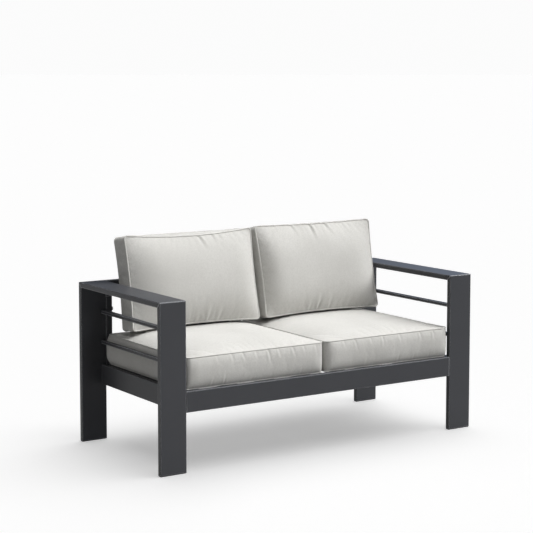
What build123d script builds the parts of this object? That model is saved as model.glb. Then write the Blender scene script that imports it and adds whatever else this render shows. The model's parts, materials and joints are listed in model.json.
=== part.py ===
from build123d import *
import math
import os

# Patio loveseat: a frame of powder-coated flat tube, two loose seat cushions and two loose back
# cushions. Sizes are in millimetres. X is the width, Y runs from the front to the back and Z is up.
# The origin lies on the floor under the middle of the frame, and the sitter looks towards -Y.

# Whole frame
frame_width = 1393
frame_depth = 628
arm_height = 610

# Flat tube of the legs and arms
arm_tube_width = 104
arm_tube_thickness = 20
arm_tube_wall = 2
tube_edge_radius = 2.5
mitre_corner_radius = 2.5

# Plastic feet in the open ends of the legs
foot_thickness = 4
foot_corner_chamfer = 2.5
foot_edge_chamfer = 2
foot_plug_depth = 22
foot_plug_wall = 2.5
foot_plug_clearance = 0.3

# Rails round the seat
rail_underside = 214.5
rail_height = 75.5
rail_thickness = 20
rail_wall = 2
rail_end_gap = 1

# Two thin bars under each arm
bar_height = 12.5
bar_wall = 1.5
bar_edge_chamfer = 1.2
lower_bar_height_share = 0.2667
upper_bar_height_share = 0.6507

# Back frame
top_rail_height = 60
post_width = 26
back_slat_count = 9
back_slat_width = 30
back_slat_thickness = 12
back_slat_side_gap = 90

# Seat deck
seat_slat_count = 8
seat_slat_width = 50
seat_slat_thickness = 15
seat_slat_side_gap = 12
slat_wall = 1.5

# Corner brackets, welded to the front and rear rails and bolted to the side rails
bracket_reach = 48
bracket_height = 44
bracket_thickness = 4
bracket_bend_radius = 6
bracket_bolt_inset = 28

# How far below the top rail the bolt runs through each back post into the rear leg
back_bolt_drop = 50

# M8 hexagon bolts, and the hexagon nuts welded inside the tubes
bolt_radius = 4
bolt_head_size = 13
bolt_head_height = 5.3
bolt_hole_radius = 4.3
bolt_tip_length = 3
nut_size = 13
nut_thickness = 6.5
nut_bore_radius = 4.05

# Seat cushions
cushion_clearance = 0.4
seat_front_setback = 2
seat_boxing_height = 112
seat_crown = 30
seat_bow_share = 0.011
seat_corner_radius = 34
seat_base_inset = 12
seat_base_drop = 3
seat_foam_inset = 24
seat_foam_edge_inset = 9

# Back cushions
back_cushion_height = 349
back_boxing_depth = 80
back_crown = 36
back_bow_share = 0.031
back_corner_radius = 22
back_lean = 11
back_foot_setback = 92
back_inner_offset = 9
back_side_gap = 25.5
back_foam_inset = 22
back_foam_edge_inset = 8

# Sewing common to all the cushions
boxing_bulge = 3
piping_radius = 2.3
piping_sides = 5
piping_clearance = 0.3
rest_gap = 0.3

# Shape of a crown: how far each ring is drawn in, as a share of half the short side
crown_inset_shares = (0, 0.04, 0.1, 0.18, 0.3, 0.46, 0.7)
crown_power = 4
crown_corner_share = 0.2

# Stretches of cloth that make up each side and each corner of a cushion's outline
side_stretches = 8
corner_stretches = 6

# Overrun of every cutting tool
cut_overrun = 1

# Planes and positions that several pieces share
inner_x = frame_width / 2 - arm_tube_width
front_y = -frame_depth / 2
rail_inner_y = frame_depth / 2 - rail_thickness
rail_top = rail_underside + rail_height
rail_middle = rail_underside + rail_height / 2
top_rail_underside = arm_height - top_rail_height
space_under_arm = arm_height - arm_tube_thickness - rail_top
post_inner_x = inner_x - rail_end_gap - post_width
seat_slat_reach = inner_x - seat_slat_side_gap - seat_slat_width / 2
back_slat_reach = post_inner_x - back_slat_side_gap - back_slat_width / 2
bracket_bolt_y = rail_inner_y - bracket_bolt_inset
back_bolt_y = rail_inner_y + rail_thickness / 2
back_bolt_height = top_rail_underside - back_bolt_drop
back_cushion_width = inner_x - back_inner_offset - back_side_gap
piping_reach = 2 * piping_radius + piping_clearance


def box_between(low, high):
    """A plain block between two opposite corners."""
    low, high = Vector(*low), Vector(*high)
    size = high - low
    return Pos(*((low + high) / 2)) * Box(size.X, size.Y, size.Z)


def chamfered_rectangle(width, depth, corner):
    """A rectangle with its four corners cut at 45 degrees."""
    return chamfer(Rectangle(width, depth).vertices(), corner)


def tube_between(low, high, along, wall, outside):
    """An open-ended rectangular tube that fills the box between two corners."""
    low, high = Vector(*low), Vector(*high)
    size = high - low
    centre = (low + high) / 2
    if along == "X":
        plane, across, tall, length = Plane(centre, (0, 1, 0), (1, 0, 0)), size.Y, size.Z, size.X
    elif along == "Y":
        plane, across, tall, length = Plane(centre, (1, 0, 0), (0, 1, 0)), size.X, size.Z, size.Y
    else:
        plane, across, tall, length = Plane(centre, (1, 0, 0), (0, 0, 1)), size.X, size.Y, size.Z
    section = outside(across, tall) - Rectangle(across - 2 * wall, tall - 2 * wall)
    return extrude(plane * section, length / 2, both=True)


def rounded(across, tall):
    """Outside of the frame's wide tubes."""
    return RectangleRounded(across, tall, tube_edge_radius)


def eased(across, tall):
    """Outside of the thin bars and slats."""
    return chamfered_rectangle(across, tall, bar_edge_chamfer)


def drill(shape, radius, centre, length):
    """Cuts a round hole along X through the given centre."""
    tool = Plane(centre, (0, 1, 0), (1, 0, 0)) * Cylinder(radius, length)
    return shape - tool


def corner_waste(sign):
    """What is ground off the sharp corner where a leg meets the arm."""
    reach, length = mitre_corner_radius + cut_overrun, arm_tube_width + 2 * cut_overrun
    block = Pos(0, sign * reach / 2, reach / 2) * Box(length, reach, reach)
    round_part = Plane.YZ * Cylinder(mitre_corner_radius, length)
    centre = (
        arm_tube_width / 2 - frame_width / 2,
        sign * (frame_depth / 2 - mitre_corner_radius),
        arm_height - mitre_corner_radius,
    )
    return Pos(*centre) * (block - round_part)


def mitre_plane(sign):
    """The 45 degree plane where a leg meets the arm, with the arm on its upper side."""
    return Plane((0, sign * frame_depth / 2, arm_height), (1, 0, 0), (0, -sign, 1))


def left_leg(sign):
    """A leg of the left side frame: sign -1 is the front leg and 1 is the rear leg."""
    outer, inner = sign * frame_depth / 2, sign * (frame_depth / 2 - arm_tube_thickness)
    low = (-frame_width / 2, min(outer, inner), foot_thickness)
    high = (-inner_x, max(outer, inner), arm_height)
    leg = tube_between(low, high, "Z", arm_tube_wall, rounded)
    leg = split(leg, bisect_by=mitre_plane(sign), keep=Keep.BOTTOM)
    leg = leg - corner_waste(sign)
    if sign > 0:
        leg = drill(leg, bolt_hole_radius, (-inner_x, back_bolt_y, back_bolt_height),
                    2 * (arm_tube_wall + cut_overrun))
    return leg


def left_arm():
    """The flat arm, mitred to both legs."""
    low = (-frame_width / 2, -frame_depth / 2, arm_height - arm_tube_thickness)
    high = (-inner_x, frame_depth / 2, arm_height)
    arm = tube_between(low, high, "Y", arm_tube_wall, rounded)
    for sign in (-1, 1):
        arm = split(arm, bisect_by=mitre_plane(sign), keep=Keep.TOP) - corner_waste(sign)
    return arm


def left_foot(sign):
    """A moulded foot: a rounded sole and a hollow plug that fills the leg's open end."""
    middle = (-frame_width / 2 + arm_tube_width / 2, sign * (frame_depth - arm_tube_thickness) / 2)
    footprint = chamfered_rectangle(arm_tube_width, arm_tube_thickness, foot_corner_chamfer)
    sole = extrude(Pos(*middle) * footprint, foot_thickness)
    sole = chamfer(sole.edges().group_by(Axis.Z)[0], foot_edge_chamfer)
    shrink = 2 * (arm_tube_wall + foot_plug_clearance)
    plug_width, plug_depth = arm_tube_width - shrink, arm_tube_thickness - shrink
    pocket = Rectangle(plug_width - 2 * foot_plug_wall, plug_depth - 2 * foot_plug_wall)
    plug = extrude(Pos(*middle, foot_thickness) * (Rectangle(plug_width, plug_depth) - pocket), foot_plug_depth)
    return sole + plug


def left_side_rail():
    """The deep rail between the legs of the left side, with its bolt holes."""
    low = (-inner_x - rail_thickness, -rail_inner_y, rail_underside)
    high = (-inner_x, rail_inner_y, rail_top)
    rail = tube_between(low, high, "Y", rail_wall, rounded)
    for sign in (-1, 1):
        centre = (-inner_x, sign * bracket_bolt_y, rail_middle)
        rail = drill(rail, bolt_hole_radius, centre, 2 * (rail_wall + cut_overrun))
    return rail


def left_bar(height_share):
    """One thin bar under the left arm, placed by its height in the space between side rail and arm."""
    underside = rail_top + height_share * space_under_arm
    low = (-inner_x - rail_thickness, -rail_inner_y, underside)
    high = (-inner_x, rail_inner_y, underside + bar_height)
    return tube_between(low, high, "Y", bar_wall, eased)


def cross_rail(low_y, low_z, high_z):
    """A rail across the width, between the two side frames."""
    half = inner_x - rail_end_gap
    low, high = (-half, low_y, low_z), (half, low_y + rail_thickness, high_z)
    return tube_between(low, high, "X", rail_wall, rounded)


def left_post():
    """The upright of the back frame beside the left rear leg."""
    low = (-post_inner_x - post_width, rail_inner_y, rail_top)
    high = (-post_inner_x, rail_inner_y + rail_thickness, top_rail_underside)
    post = tube_between(low, high, "Z", rail_wall, rounded)
    centre = (-post_inner_x - post_width / 2, back_bolt_y, back_bolt_height)
    return drill(post, bolt_hole_radius, centre, post_width + 2 * cut_overrun)


def spread(count, reach):
    """Evenly spaced centres, the first and last of them at the reach on both sides of the middle."""
    return [reach * (2 * index / (count - 1) - 1) for index in range(count)]


def back_slat(x):
    """One upright slat between the rear rail and the top rail."""
    y = rail_inner_y + (rail_thickness - back_slat_thickness) / 2
    low = (x - back_slat_width / 2, y, rail_top)
    high = (x + back_slat_width / 2, y + back_slat_thickness, top_rail_underside)
    return tube_between(low, high, "Z", slat_wall, eased)


def seat_slat(x):
    """One slat of the seat deck, from the front rail to the rear rail, level with their tops."""
    low = (x - seat_slat_width / 2, -rail_inner_y, rail_top - seat_slat_thickness)
    high = (x + seat_slat_width / 2, rail_inner_y, rail_top)
    return tube_between(low, high, "Y", slat_wall, eased)


def left_bracket(sign):
    """A bent angle in the corner of the side rail and the front (-1) or rear (1) rail."""
    corner_y, step = sign * rail_inner_y, -sign
    corners = [
        (-inner_x, corner_y),
        (-inner_x, corner_y + step * bracket_reach),
        (-inner_x + bracket_thickness, corner_y + step * bracket_reach),
        (-inner_x + bracket_thickness, corner_y + step * bracket_thickness),
        (-inner_x + bracket_reach, corner_y + step * bracket_thickness),
        (-inner_x + bracket_reach, corner_y),
    ]
    angle = make_face(Polyline(*corners, close=True))
    heel = angle.vertices().sort_by_distance((-inner_x, corner_y, 0))[0]
    angle = fillet(heel, bracket_bend_radius)
    plate = extrude(Pos(0, 0, rail_middle - bracket_height / 2) * Face(angle.wire()), bracket_height, dir=(0, 0, 1))
    centre = (-inner_x + bracket_thickness / 2, sign * bracket_bolt_y, rail_middle)
    return drill(plate, bolt_hole_radius, centre, bracket_thickness + 2 * cut_overrun)


def bolt(head_x, y, z, length):
    """A bolt whose head rests on the plane at head_x and whose shank runs towards -X."""
    head = extrude(RegularPolygon(bolt_head_size / 2, 6, major_radius=False), bolt_head_height)
    shank = Cylinder(bolt_radius, length, align=(Align.CENTER, Align.CENTER, Align.MAX))
    return Plane((head_x, y, z), (0, 1, 0), (1, 0, 0)) * (head + shank)


def nut(wall_x, y, z):
    """A hexagon nut welded to the inside of a tube wall, behind the plane at wall_x."""
    flats = RegularPolygon(nut_size / 2, 6, major_radius=False)
    ring = extrude(flats - Circle(nut_bore_radius), -nut_thickness)
    return Plane((wall_x, y, z), (0, 1, 0), (1, 0, 0)) * ring


def left_fasteners():
    """Bolts and nuts of the left side, by kind."""
    bracket_bolts, back_bolts, nuts = [], [], []
    bracket_grip = bracket_thickness + rail_wall
    for sign in (-1, 1):
        place = (sign * bracket_bolt_y, rail_middle)
        length = bracket_grip + nut_thickness + bolt_tip_length
        bracket_bolts.append(bolt(-inner_x + bracket_thickness, *place, length))
        nuts.append(nut(-inner_x - rail_wall, *place))
    place = (back_bolt_y, back_bolt_height)
    back_grip = post_width + rail_end_gap + arm_tube_wall
    back_bolts.append(bolt(-post_inner_x, *place, back_grip + nut_thickness + bolt_tip_length))
    nuts.append(nut(-inner_x - arm_tube_wall, *place))
    return {"bracket_bolts": bracket_bolts, "back_bolts": back_bolts, "nuts": nuts}


def outline(width, depth, corner_radius, bow_share, level):
    """Corner points of a cushion's outline, whose sides bow inwards between rounded corners.

    The bow is a share of the side's straight reach, so that outlines of any size have parallel stretches.
    """
    points = []
    for quarter in range(4):
        along, out = (width / 2, depth / 2) if quarter % 2 == 0 else (depth / 2, width / 2)
        reach, middle = along - corner_radius, out - corner_radius
        stretch = []
        for step in range(corner_stretches + 1):
            angle = math.pi / 2 * step / corner_stretches
            stretch.append((reach + corner_radius * math.cos(angle), middle + corner_radius * math.sin(angle)))
        for step in range(1, side_stretches):
            share = 1 - 2 * step / side_stretches
            stretch.append((reach * share, out - bow_share * reach * (1 - share**2)))
        points += [Vector(x, y, level).rotate(Axis.Z, 90 * quarter) for x, y in stretch]
    return points


def flat_face(*points):
    """A flat face between corner points."""
    return Face(Wire.make_polygon(points))


def skin(rings):
    """A solid whose flat facets join each ring of points to the next."""
    facets = [flat_face(*rings[0]), flat_face(*rings[-1])]
    for lower, upper in zip(rings, rings[1:]):
        for i in range(len(lower)):
            facets.append(flat_face(lower[i - 1], lower[i], upper[i], upper[i - 1]))
    return Solid(Shell(facets))


def crown_height_share(inset_share):
    """Height of a ring of a crown, as a share of the crown's full height."""
    return 1 - (1 - inset_share) ** crown_power


def crown(width, depth, corner_radius, bow_share, start, height):
    """Rings of a crowned panel, from its seam at the start level to its nearly flat middle."""
    rings = []
    for share in crown_inset_shares:
        inset = share * min(width, depth) / 2
        rings.append(outline(
            width - 2 * inset,
            depth - 2 * inset,
            corner_radius + crown_corner_share * inset,
            bow_share,
            start + height * crown_height_share(share),
        ))
    return rings


def swell(width, depth, corner_radius, bow_share, height):
    """The ring of the boxing at half its height, where it swells a little."""
    return outline(
        width + 2 * boxing_bulge, depth + 2 * boxing_bulge, corner_radius + boxing_bulge, bow_share, height / 2
    )


def piping(width, depth, corner_radius, bow_share, level):
    """The covered cord sewn into the seam at a level, just outside the panel's edge."""
    offset = piping_radius + piping_clearance
    corners = outline(width + 2 * offset, depth + 2 * offset, corner_radius + offset, bow_share, level)
    path = Wire.make_polygon(corners)
    start = Plane(path.position_at(0), z_dir=path.tangent_at(0))
    return sweep(start * RegularPolygon(piping_radius, piping_sides), path=path, transition=Transition.RIGHT)


def both_pipings(width, depth, corner_radius, bow_share, height):
    """The cords of a cushion's two seams, as separate solids."""
    levels = (0, height)
    return Compound(children=[piping(width, depth, corner_radius, bow_share, level) for level in levels])


# Seat cushion, lying on the deck
seat_outer_width = inner_x - 2 * cushion_clearance
seat_width = seat_outer_width - 2 * piping_reach
seat_rear_y = rail_inner_y - cushion_clearance
seat_outer_depth = seat_rear_y - front_y - seat_front_setback
seat_depth = seat_outer_depth - 2 * piping_reach
seat_middle_x = inner_x / 2
seat_middle_y = seat_rear_y - seat_outer_depth / 2
seat_seam_drop = max(seat_base_drop, piping_radius)
seat_base_z = rail_top + rest_gap
seat_top_seam_z = seat_base_z + seat_seam_drop + seat_boxing_height


def seat_cushion():
    """Cover, foam core and piping of the left seat cushion."""
    size, sewn = (seat_width, seat_depth), (seat_corner_radius, seat_bow_share)
    rings = [
        outline(seat_width - 2 * seat_base_inset, seat_depth - 2 * seat_base_inset, *sewn, -seat_seam_drop),
        outline(*size, *sewn, 0),
        swell(*size, *sewn, seat_boxing_height),
    ]
    rings += crown(*size, *sewn, seat_boxing_height, seat_crown)
    core = box_between(
        (seat_foam_inset - seat_width / 2, seat_foam_inset - seat_depth / 2, seat_foam_edge_inset),
        (seat_width / 2 - seat_foam_inset, seat_depth / 2 - seat_foam_inset,
         seat_boxing_height - seat_foam_edge_inset),
    )
    cords = both_pipings(*size, *sewn, seat_boxing_height)
    place = Pos(-seat_middle_x, seat_middle_y, seat_base_z + seat_seam_drop)
    return {"cover": place * (skin(rings) - core), "foam": place * core, "piping": place * cords}


def seat_top_height(x_inset, y_inset):
    """Height of the seat cushion's crown at an inset from its side seam and from its rear seam."""
    share = min(x_inset, y_inset) / (min(seat_width, seat_depth) / 2)
    if share < 0:
        return seat_top_seam_z
    for low, high in zip(crown_inset_shares, crown_inset_shares[1:]):
        if share < high:
            low_rise, high_rise = crown_height_share(low), crown_height_share(high)
            return seat_top_seam_z + seat_crown * (low_rise + (high_rise - low_rise) * (share - low) / (high - low))
    return seat_top_seam_z + seat_crown * crown_height_share(crown_inset_shares[-1])


def back_rest_height():
    """Height of the back cushion's lower rear seam when its piping just stands on the seat cushion."""
    lean = math.radians(back_lean)
    heights = []
    for point in outline(back_cushion_width, back_cushion_height, back_corner_radius, back_bow_share, 0):
        lift = point.Y + back_cushion_height / 2
        x = back_inner_offset + back_cushion_width / 2 + point.X
        y = rail_inner_y - back_foot_setback + lift * math.sin(lean)
        x_inset = seat_width / 2 - abs(x - seat_middle_x)
        y_inset = seat_middle_y + seat_depth / 2 - y
        heights.append(seat_top_height(x_inset, y_inset) + (piping_reach - lift) * math.cos(lean))
    return max(heights) + rest_gap


def back_cushion():
    """Cover, core and piping of the left back cushion, leaning on the top rail."""
    lean = math.radians(back_lean)
    rise, run = math.cos(lean), math.sin(lean)
    foot_y, foot_z = rail_inner_y - back_foot_setback, back_rest_height()
    reach_y, reach_z = rail_inner_y - cushion_clearance - foot_y, arm_height - foot_z
    rear_crown = (reach_y * rise - reach_z * run) / crown_height_share(crown_inset_shares[-1])
    size = (back_cushion_width, back_cushion_height)
    sewn = (back_corner_radius, back_bow_share)
    rings = crown(*size, *sewn, 0, -rear_crown)[::-1]
    rings.append(swell(*size, *sewn, back_boxing_depth))
    rings += crown(*size, *sewn, back_boxing_depth, back_crown)
    core = box_between(
        (back_foam_inset - size[0] / 2, back_foam_inset - size[1] / 2, back_foam_edge_inset),
        (size[0] / 2 - back_foam_inset, size[1] / 2 - back_foam_inset, back_boxing_depth - back_foam_edge_inset),
    )
    cords = both_pipings(*size, *sewn, back_boxing_depth)
    middle = Vector(
        -(back_inner_offset + back_cushion_width / 2),
        foot_y + back_cushion_height / 2 * run,
        foot_z + back_cushion_height / 2 * rise,
    )
    place = Plane(middle, (1, 0, 0), (0, -rise, run))
    return {"cover": place * (skin(rings) - core), "foam": place * core, "piping": place * cords}


def build():
    """Every node of the loveseat, by name."""
    left = {
        "front_leg": left_leg(-1),
        "rear_leg": left_leg(1),
        "arm": left_arm(),
        "front_foot": left_foot(-1),
        "rear_foot": left_foot(1),
        "side_rail": left_side_rail(),
        "lower_bar": left_bar(lower_bar_height_share),
        "upper_bar": left_bar(upper_bar_height_share),
        "back_post": left_post(),
        "front_bracket": left_bracket(-1),
        "rear_bracket": left_bracket(1),
    }
    for cushion, pieces in (("seat_cushion", seat_cushion()), ("back_cushion", back_cushion())):
        for piece, shape in pieces.items():
            left[f"{cushion}_{piece}"] = shape
    nodes = {}
    for name, shape in left.items():
        nodes[f"left_{name}"] = shape
        nodes[f"right_{name}"] = mirror(shape, about=Plane.YZ)
    nodes["front_rail"] = cross_rail(front_y, rail_underside, rail_top)
    nodes["rear_rail"] = cross_rail(rail_inner_y, rail_underside, rail_top)
    nodes["back_top_rail"] = cross_rail(rail_inner_y, top_rail_underside, arm_height)
    for index, x in enumerate(spread(seat_slat_count, seat_slat_reach)):
        nodes[f"seat_slat_{index + 1}"] = seat_slat(x)
    for index, x in enumerate(spread(back_slat_count, back_slat_reach)):
        nodes[f"back_slat_{index + 1}"] = back_slat(x)
    for kind, pieces in left_fasteners().items():
        others = [mirror(piece, about=Plane.YZ) for piece in pieces]
        nodes[kind] = Compound(children=pieces + others)
    return nodes


os.makedirs("parts", exist_ok=True)
for node_name, node_shape in build().items():
    export_step(node_shape, f"parts/{node_name}.step")
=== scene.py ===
import bpy
import json
import math
import numpy as np
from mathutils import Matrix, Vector
from mathutils.bvhtree import BVHTree


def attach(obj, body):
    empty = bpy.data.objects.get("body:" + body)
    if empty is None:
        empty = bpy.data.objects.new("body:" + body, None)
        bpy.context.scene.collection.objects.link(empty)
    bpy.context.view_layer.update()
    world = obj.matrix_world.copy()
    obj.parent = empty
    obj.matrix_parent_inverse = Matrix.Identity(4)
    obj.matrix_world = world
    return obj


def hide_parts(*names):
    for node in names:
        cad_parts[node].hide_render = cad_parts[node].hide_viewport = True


# Patio loveseat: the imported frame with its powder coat, and four cushions sewn and filled here.
# Sizes are in metres in the frame's own axes: X is the width, Y runs to the back and Z is up.

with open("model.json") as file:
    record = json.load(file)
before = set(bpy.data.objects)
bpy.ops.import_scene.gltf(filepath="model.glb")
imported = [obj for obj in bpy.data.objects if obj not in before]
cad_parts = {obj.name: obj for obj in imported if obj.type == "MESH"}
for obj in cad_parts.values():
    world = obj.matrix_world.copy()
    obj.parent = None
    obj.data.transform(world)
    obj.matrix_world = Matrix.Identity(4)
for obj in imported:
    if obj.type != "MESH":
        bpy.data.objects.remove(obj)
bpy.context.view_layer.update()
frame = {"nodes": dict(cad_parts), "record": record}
SIDES = (("left", -1.0), ("right", 1.0))

# Seat cushion, as cut. The bow is a share of each side's straight reach.
SEAT_WIDTH = 0.5819
SEAT_DEPTH = 0.5958
SEAT_BOXING = 0.112
SEAT_CROWN = 0.030
SEAT_CORNER = 0.024
SEAT_BOW = 0.011
SEAT_MIDDLE_X = 0.29625
SEAT_MIDDLE_Y = -0.0092
SEAT_LOWER_SEAM = 0.2925
SEAT_BASE_DROP = 0.0022
SEAT_INNER_GROWTH = {-1.0: 0.005, 1.0: -0.003}
SEAT_OUTER_GROWTH = 0.0035

# Back cushion, as cut. Its foot is the lower seam of its rear panel, at mid width.
BACK_WIDTH = 0.558
BACK_HEIGHT = 0.349
BACK_BOXING = 0.080
BACK_CROWN = 0.047
BACK_REAR_CROWN = 0.0555
BACK_CORNER = 0.012
BACK_BOW = 0.031
BACK_LEAN = math.radians(11)
BACK_FOOT_Y = 0.202
BACK_FOOT_Z = 0.42956
BACK_INNER_OFFSET = {-1.0: 0.009, 1.0: 0.013}

# How far a back cushion's lower left corner is drawn to the right, and how much taller the cushion sits
BACK_SKEW = {-1.0: 0.0, 1.0: 0.011}
BACK_STRETCH = {-1.0: 0.0, 1.0: 0.004}

# Each seam's cord, and how deep the cloth tucks in behind it
CORD_RADIUS = {"seat": 0.002, "back": 0.003}
SEAM_TUCK = {"seat": 0.0008, "back": 0.0006}
CORD_REACH = 0.0002

# How far a boxing bulges at mid height. The seat's outer side fills out between the legs.
BULGES = {
    "seat": {"near": 0.0055, "far": 0.003, "inner": 0.002, "outer": 0.0125},
    "back": {"near": 0.003, "far": 0.003, "inner": 0.003, "outer": 0.006},
}
SIDE_BULGE_START = 0.017
BULGE_GROWTH = 0.05

# How far a seat's seams are drawn in, and how that fades into the panel and the boxing
SEAT_BASE_INSET = {"near": 0.0105, "far": 0.005, "left": 0.004, "right": 0.004}
SEAT_TOP_INSET = {"near": 0.0035, "far": 0.001, "left": 0.0, "right": 0.0}
INSET_REACH = 0.02
BASE_INSET_POWER = 8
TOP_INSET_POWER = 5

# Grids of the cushions: points on a corner and on a side of the outline, and the cells of the coarse grid
CORNER_STEPS = 24
SIDE_STEPS = 80
COARSE_CELL = {"seat": 0.008, "back": 0.0075}

# The filling: its pressure, how much too large the cloth is cut, and the unevenness that it starts with
FILL_PRESSURE = 4.0
CLOTH_EASE = 0.02
CLOTH_UNEVENNESS = 0.0002
FILL_FRAMES = 20
BOXING_SEED_STEP = 5
FILL_SEEDS = {("seat", -1.0): 11, ("back", -1.0): 111, ("seat", 1.0): 23, ("back", 1.0): 123}

# Rounds of smoothing that leave only the broad swell of a panel and of a boxing
PANEL_ROUNDS = 40
BOXING_ROUNDS = 6

# A gather: how it stands up from the seam, fades and widens, and the valley beside it
GATHER_RISE = 0.004
GATHER_FADE = 1.4
GATHER_SPREAD = 0.7
VALLEY_DEPTH = 1.1
VALLEY_OFFSET = 1.6

# How the small gathers of a seam vary: size, width, slant and spacing
SMALLEST_GATHER = 0.35
SIZE_POWER = 1.5
WIDTH_RANGE = (0.7, 1.3)
SLANT_SPREAD = 0.25
SPACING_RANGE = (0.5, 1.5)

# How gathers draw their seam inwards: a share of their height, over a width and as far as a reach
PULL_SHARE = 0.3
PULL_WIDTH = 1.8
PULL_REACH = 0.012

# How a seat keeps clear of the cushion on it: the gap, how far the search looks, and rounds of smoothing
PRESS_GAP = 0.0006
PRESS_DEPTH = 0.06
PRESS_SEARCH = 0.07
PRESS_ROUNDS = 12


# Materials

# The sockets of a Mix node that mixes colours
COLOUR_A, COLOUR_B, MIXED_COLOUR = 6, 7, 2

# The length of one band of a wave texture whose scale is 1
WAVE_PERIOD = math.pi / 10


def material(name):
    """A new material with its nodes, links and Principled shader."""
    mat = bpy.data.materials.new(name)
    mat.use_nodes = True
    nodes, links = mat.node_tree.nodes, mat.node_tree.links
    return mat, nodes, links, nodes["Principled BSDF"]


def add(nodes, kind, **values):
    """A node of that kind with its attributes and input values set."""
    node = nodes.new("ShaderNode" + kind)
    for key, value in values.items():
        if hasattr(node, key):
            setattr(node, key, value)
        else:
            node.inputs[key.replace("_", " ")].default_value = value
    return node


def mix_colours(nodes, links, share, dark, light):
    """A colour between two others."""
    node = nodes.new("ShaderNodeMix")
    node.data_type = "RGBA"
    links.new(share, node.inputs["Factor"])
    for socket, colour in ((COLOUR_A, dark), (COLOUR_B, light)):
        if isinstance(colour, tuple):
            node.inputs[socket].default_value = (*colour, 1)
        else:
            links.new(colour, node.inputs[socket])
    return node.outputs[MIXED_COLOUR]


def powder_coat(name, dark, light, edge_highlight_tone, roughness=0.42, spread=0.06, specular=0.2):
    """Charcoal powder coat: a fine orange peel, faint cloudiness, eased edges, and a painted highlight that
    lightens the colour along the edges.
    """
    mat, nodes, links, shader = material(name)
    where = nodes.new("ShaderNodeTexCoord").outputs["Object"]
    cloud = add(nodes, "TexNoise", Scale=7.0, Detail=4.0)
    grain = add(nodes, "TexNoise", Scale=1400.0, Detail=2.0)
    for node in (cloud, grain):
        links.new(where, node.inputs["Vector"])
    edge = add(nodes, "Bevel", Radius=0.004)
    edge.samples = 6
    turn = add(nodes, "VectorMath", operation="DOT_PRODUCT")
    links.new(edge.outputs["Normal"], turn.inputs[0])
    links.new(nodes.new("ShaderNodeNewGeometry").outputs["Normal"], turn.inputs[1])
    # Painted highlight: the colour turns toward the much lighter edge tone where the bevelled normal leans
    # away from the face's own
    painted_edge_highlight = add(nodes, "MapRange", From_Min=0.99, From_Max=0.93)
    links.new(turn.outputs["Value"], painted_edge_highlight.inputs["Value"])
    clouded = mix_colours(nodes, links, cloud.outputs["Fac"], dark, light)
    colour = mix_colours(nodes, links, painted_edge_highlight.outputs["Result"], clouded, edge_highlight_tone)
    links.new(colour, shader.inputs["Base Color"])
    rough = add(nodes, "MapRange", To_Min=roughness - spread, To_Max=roughness + spread)
    links.new(cloud.outputs["Fac"], rough.inputs["Value"])
    links.new(rough.outputs["Result"], shader.inputs["Roughness"])
    shader.inputs["Specular IOR Level"].default_value = specular
    bump = add(nodes, "Bump", Strength=0.25, Distance=0.0002)
    links.new(grain.outputs["Fac"], bump.inputs["Height"])
    links.new(edge.outputs["Normal"], bump.inputs["Normal"])
    links.new(bump.outputs["Normal"], shader.inputs["Normal"])
    return mat


def moulded_plastic(name, dark, light):
    """Matt black moulded plastic with a fine spark-eroded grain."""
    mat, nodes, links, shader = material(name)
    where = nodes.new("ShaderNodeTexCoord").outputs["Object"]
    grain = add(nodes, "TexNoise", Scale=2200.0, Detail=1.0)
    links.new(where, grain.inputs["Vector"])
    links.new(mix_colours(nodes, links, grain.outputs["Fac"], dark, light), shader.inputs["Base Color"])
    shader.inputs["Roughness"].default_value = 0.6
    bump = add(nodes, "Bump", Strength=0.2, Distance=0.0001)
    links.new(grain.outputs["Fac"], bump.inputs["Height"])
    links.new(bump.outputs["Normal"], shader.inputs["Normal"])
    return mat


def plated_steel(name, dark, light):
    """Zinc-plated steel with fine turning marks."""
    mat, nodes, links, shader = material(name)
    where = nodes.new("ShaderNodeTexCoord").outputs["Object"]
    marks = add(nodes, "TexNoise", Scale=900.0, Detail=3.0)
    links.new(where, marks.inputs["Vector"])
    links.new(mix_colours(nodes, links, marks.outputs["Fac"], dark, light), shader.inputs["Base Color"])
    shader.inputs["Metallic"].default_value = 1.0
    shader.inputs["Roughness"].default_value = 0.35
    return mat


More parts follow.
